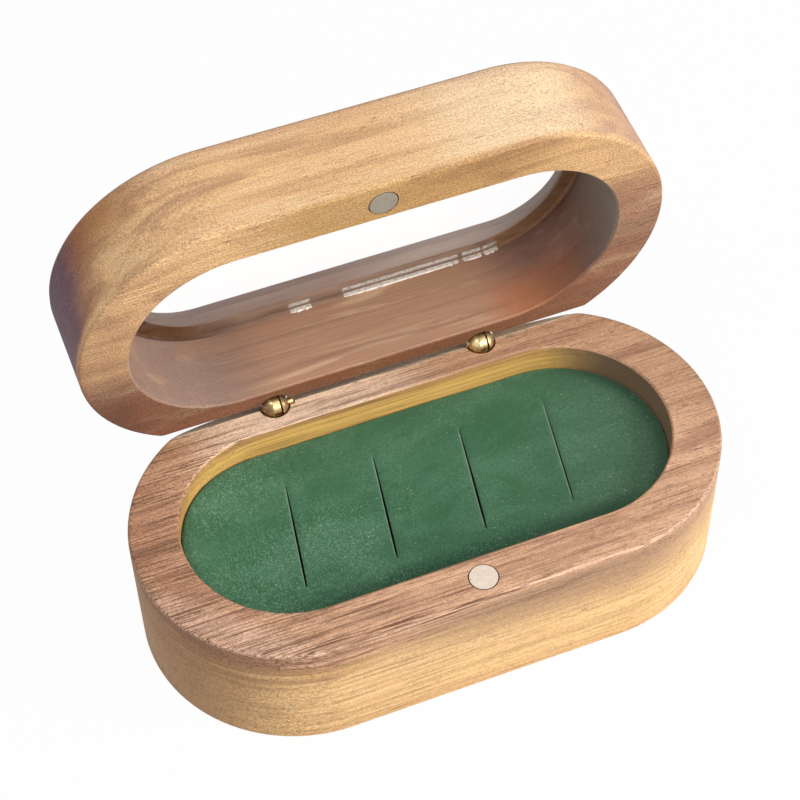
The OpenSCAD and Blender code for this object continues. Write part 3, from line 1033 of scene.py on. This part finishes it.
def pad_height(x, y):
    """Height of the suede's face over a point of the pad."""
    inset = PAD_R - math.hypot(max(abs(x) - PAD_STRAIGHT, 0.0), y)
    swell = PAD_SWELL * (1 - math.exp(-inset / (6 * MM)))
    wave = 0.22 * MM * noise.noise(Vector((x, y, 0)) / (17 * MM))
    wave += 0.07 * MM * noise.noise(Vector((x, y, 1)) / (5 * MM))
    rise = LEFT_RISE * smooth(-x, 30 * MM, 52 * MM)
    return PAD_HIGH.z + swell + wave + rise - slit_dip(x, y) - edge_drop(inset)


print("height at the middle, mm:", round(pad_height(0, 0) / MM, 2), "rim", RIM / MM)


# %% [markdown]
# The grid runs row by row from front to back. Each row is cut at the slits'
# columns, and within a slit's length that column is doubled, one for each
# lip, so the gap between them is a real opening. Rows and columns crowd
# towards the rolled edge, where the shape turns fastest.

# %% Weave the sheet
SLIT_ROWS = 46
EDGE_ROWS = 20
COLUMNS = (40, 36, 36, 36, 40)


def row_places():
    inner = [SLIT_REACH * (2 * i / SLIT_ROWS - 1) for i in range(SLIT_ROWS + 1)]
    crowded = [math.sin(math.pi / 2 * i / EDGE_ROWS) for i in range(1, EDGE_ROWS + 1)]
    outer = [SLIT_REACH + (PAD_R - SLIT_REACH) * share for share in crowded]
    return [-y for y in reversed(outer)] + inner + outer


def spread(start, end, count):
    """Places from start to end, crowded at both ends."""
    for i in range(count + 1):
        yield start + (end - start) * (1 - math.cos(math.pi * i / count)) / 2


def sheet_mesh():
    """The suede's face as one open sheet with four slits."""
    mesh = bmesh.new()
    rows = []
    for y in row_places():
        cuts = [(slit_x(i, y), slit_gape(i, y)) for i in range(SLIT_COUNT)]
        lefts = [-half_length(y)] + [x + gape for x, gape in cuts]
        rights = [x - gape for x, gape in cuts] + [half_length(y)]
        row = []
        for i, (a, b) in enumerate(zip(lefts, rights)):
            row.append([mesh.verts.new((x, y, pad_height(x, y))) for x in spread(a, b, COLUMNS[i])])
        rows.append(row)
    for low, high in zip(rows, rows[1:]):
        for a, b in zip(low, high):
            for i in range(len(a) - 1):
                mesh.faces.new((a[i], a[i + 1], b[i + 1], b[i]))
    bmesh.ops.remove_doubles(mesh, verts=mesh.verts, dist=1e-6)
    return mesh


def drop_skirt(mesh, steps=5):
    """Carries the sheet's outer edge down the foam's side to the card."""
    def at_edge(edge):
        ends = [math.hypot(max(abs(v.co.x) - PAD_STRAIGHT, 0.0), v.co.y) for v in edge.verts]
        return edge.is_boundary and min(ends) > PAD_R - 1e-5

    edge = [e for e in mesh.edges if at_edge(e)]
    start = {}
    for step in range(1, steps + 1):
        made = bmesh.ops.extrude_edge_only(mesh, edges=edge)["geom"]
        edge = [g for g in made if isinstance(g, bmesh.types.BMEdge)]
        for v in {v for e in edge for v in e.verts}:
            key = (round(v.co.x, 6), round(v.co.y, 6))
            start.setdefault(key, v.co.z)
            v.co.z = start[key] + (PAD_LOW.z - start[key]) * step / steps


def suede_pad():
    mesh = sheet_mesh()
    drop_skirt(mesh)
    bmesh.ops.recalc_face_normals(mesh, faces=mesh.faces)
    if sum(f.normal.z for f in mesh.faces) < 0:
        bmesh.ops.reverse_faces(mesh, faces=mesh.faces)
    data = bpy.data.meshes.new("suede_pad")
    mesh.to_mesh(data)
    mesh.free()
    data.shade_smooth()
    made = bpy.data.objects.new("suede_pad", data)
    bpy.context.scene.collection.objects.link(made)
    shell = made.modifiers.new("thickness", "SOLIDIFY")
    shell.thickness = SUEDE_THICK
    shell.offset = -1
    shell.use_rim = True
    return made


pad = suede_pad()
print("suede faces:", len(pad.data.polygons))


# %% [markdown]
# Suede has no gloss. What it has is nap: short fibres that catch light at a
# grazing angle, darken where they are brushed the other way, and hold pale
# dust. Sheen gives the first, two noises give the second, and a thresholded
# fine noise the third.

# %% Suede finish
SUEDE_DEEP = (0.046, 0.131, 0.066)
SUEDE_LIGHT = (0.080, 0.186, 0.107)
SUEDE_GREYED = (0.120, 0.205, 0.132)
NAP_SHADE = (0.030, 0.095, 0.048)
STRIP_SHADE = (0.016, 0.046, 0.028)
HAIR_GREEN = (0.160, 0.320, 0.200)
DUST_GREEN = (0.42, 0.56, 0.44)
LIP_HIGHLIGHT_GREY = (0.27, 0.31, 0.27)


def stray_fibres(f, place, angle, seed):
    """Short pale hairs that lie about one way."""
    moved = f.vector("ADD", f.turned(place, (0.0, 0.0, 1.0), angle), (seed, seed, 0.0))
    return f.fade(f.noise(moved, (0.80, 0.20, 0.30), 1.0, 0.5), 0.58, 0.72)


def shaded_strips(f, place, x, y):
    """Along the front wall and around the right end, where the pad lies deepest in shade."""
    r = from_spine(f, place, PAD_STRAIGHT / MM)
    front = f.times(f.fade(y, -13.5, -17.5), f.fade(x, -42, -24))
    end = f.times(f.fade(r, PAD_R / MM - 4.0, PAD_R / MM - 0.6), f.fade(x, 30, 44))
    return f.math("MAXIMUM", front, end)


def slit_lips(f, place, y):
    """The cut edge of the suede at the left of each slit: its own paler edge, with a painted highlight."""
    across = f.along(place, (1.0, -math.tan(SLIT_SLANT), 0.0))
    lips = 0.0
    for index in range(SLIT_COUNT):
        cut = slit_middle(index) / MM
        lip = f.times(f.fade(across, cut - 0.52, cut - 0.40), f.fade(across, cut - 0.10, cut - 0.20))
        lips = f.math("MAXIMUM", lips, lip)
    reach = SLIT_REACH / MM
    return f.times(lips, f.fade(f.math("ABSOLUTE", y), reach, reach - 2.0, 0.0, 0.35))


def suede_finish():
    f = Finish("green_suede")
    place = f.place_mm()
    x, y, _ = f.xyz(place)
    brushed = f.noise(place, (15, 8, 8), 3.0, 0.6, 0.6)
    nap = f.noise(place, (0.40, 0.40, 0.40), 3.0, 0.7)
    colour = f.mix(f.fade(brushed, 0.35, 0.68), SUEDE_DEEP, SUEDE_LIGHT)
    rightward = f.along(place, (1.0, -0.5, 0.0))
    colour = f.over(colour, SUEDE_GREYED, f.fade(rightward, 14, 46, 0.0, 0.55))
    colour = f.over(colour, NAP_SHADE, f.fade(nap, 0.38, 0.62, 0.0, 0.60))
    colour = f.over(colour, STRIP_SHADE, shaded_strips(f, place, x, y), 0.62)

    hairs = 0.0
    for angle, seed in ((0.6, 11.0), (-0.9, 47.0), (1.9, 83.0)):
        hairs = f.math("MAXIMUM", hairs, stray_fibres(f, place, angle, seed))
    there = f.fade(f.noise(place, (20, 20, 20), 2.0), 0.36, 0.62, 0.35, 1.0)
    front_left = f.fade(f.along(place, (-0.8, -0.6, 0.0)), -22, 26, 0.06, 1.0)
    hairs = f.times(hairs, there, front_left)
    colour = f.over(colour, HAIR_GREEN, hairs, 0.85)
    dust = f.fade(f.noise(place, (0.55, 0.40, 0.40), 1.0, 0.5), 0.72, 0.78)
    colour = f.over(colour, DUST_GREEN, dust, there, 0.8)
    colour = f.over(colour, LIP_HIGHLIGHT_GREY, slit_lips(f, place, y))
    f.set(Base_Color=colour, Roughness=0.95, Specular_IOR_Level=0.15)
    f.set(Sheen_Weight=0.25, Sheen_Roughness=0.45, Sheen_Tint=(0.55, 0.80, 0.62, 1.0))
    f.set(Normal=f.bump(f.math("MAXIMUM", nap, hairs), 0.14, 0.8))
    return f.material


pad.data.materials.append(suede_finish())
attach(pad, "base")
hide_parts("suede_cover")
print("suede pad rides on base")


# %% [markdown]
# ## Squeezed-out glue
#
# When the pane was pressed onto its lip, clear glue came out along the
# hinge-side wall and set in uneven beads. They are small, but they catch the
# light and tell the eye that there is a pane at all. Each bead is a
# lumpy tube with closed ends, laid in the flat position and then turned
# open with the lid. `SEAM_GAP` is left between the rims when the lid is shut.

# %% Glue beads
SEAM_GAP = 0.1
BEAD_RADIUS = 0.26
BEAD_STEP = 0.15
BEAD_SIDES = 8
BEAD_OFF_WALL = 0.16
BEAD_SINK = 0.10
BEAD_HEIGHT = RIM / MM + SEAM_GAP + PANE_FACE - BEAD_SINK


def wall_point(x):
    """Where the cavity's hinge-side wall is at x, and its direction away from the spine."""
    beyond = max(x - CAVITY_HALF_STRAIGHT, 0.0)
    y = math.sqrt(CAVITY_R**2 - beyond**2)
    return Vector((x, y, 0)), Vector((beyond, y, 0)).normalized()


def bead_run(mesh, start, end, phase):
    """One lumpy tube along the corner of pane and wall, in the shut position."""
    steps = max(int((end - start) / BEAD_STEP), 6)
    angles = [2 * math.pi * k / BEAD_SIDES for k in range(BEAD_SIDES)]
    rings = []
    for i in range(steps + 1):
        t = i / steps
        at, out = wall_point(start + (end - start) * t)
        lump = 0.85 + 1.3 * noise.noise(Vector((at.x / 0.6, phase, 0)))
        radius = BEAD_RADIUS * lump * math.sqrt(max(1 - (2 * t - 1) ** 6, 0.02))
        centre = at - out * BEAD_OFF_WALL + Vector((0, 0, BEAD_HEIGHT))
        ring = [centre + (out * math.cos(a) + Vector((0, 0, math.sin(a)))) * radius for a in angles]
        rings.append([mesh.verts.new(point * MM) for point in ring])
    for low, high in zip(rings, rings[1:]):
        for k in range(BEAD_SIDES):
            after = (k + 1) % BEAD_SIDES
            mesh.faces.new((low[k], low[after], high[after], high[k]))
    mesh.faces.new(list(reversed(rings[0])))
    mesh.faces.new(rings[-1])


def glue_beads():
    mesh = bmesh.new()
    for number, (start, end) in enumerate(GLINT_RUNS):
        bead_run(mesh, start, end, 3.1 * number)
    bmesh.ops.transform(mesh, matrix=lid_shut_to_open, verts=mesh.verts)
    bmesh.ops.recalc_face_normals(mesh, faces=mesh.faces)
    data = bpy.data.meshes.new("glue_beads")
    mesh.to_mesh(data)
    mesh.free()
    data.shade_smooth()
    data.materials.append(glue)
    made = bpy.data.objects.new("glue_beads", data)
    bpy.context.scene.collection.objects.link(made)
    return made


beads = glue_beads()
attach(beads, "lid")
print("glue beads:", len(GLINT_RUNS))
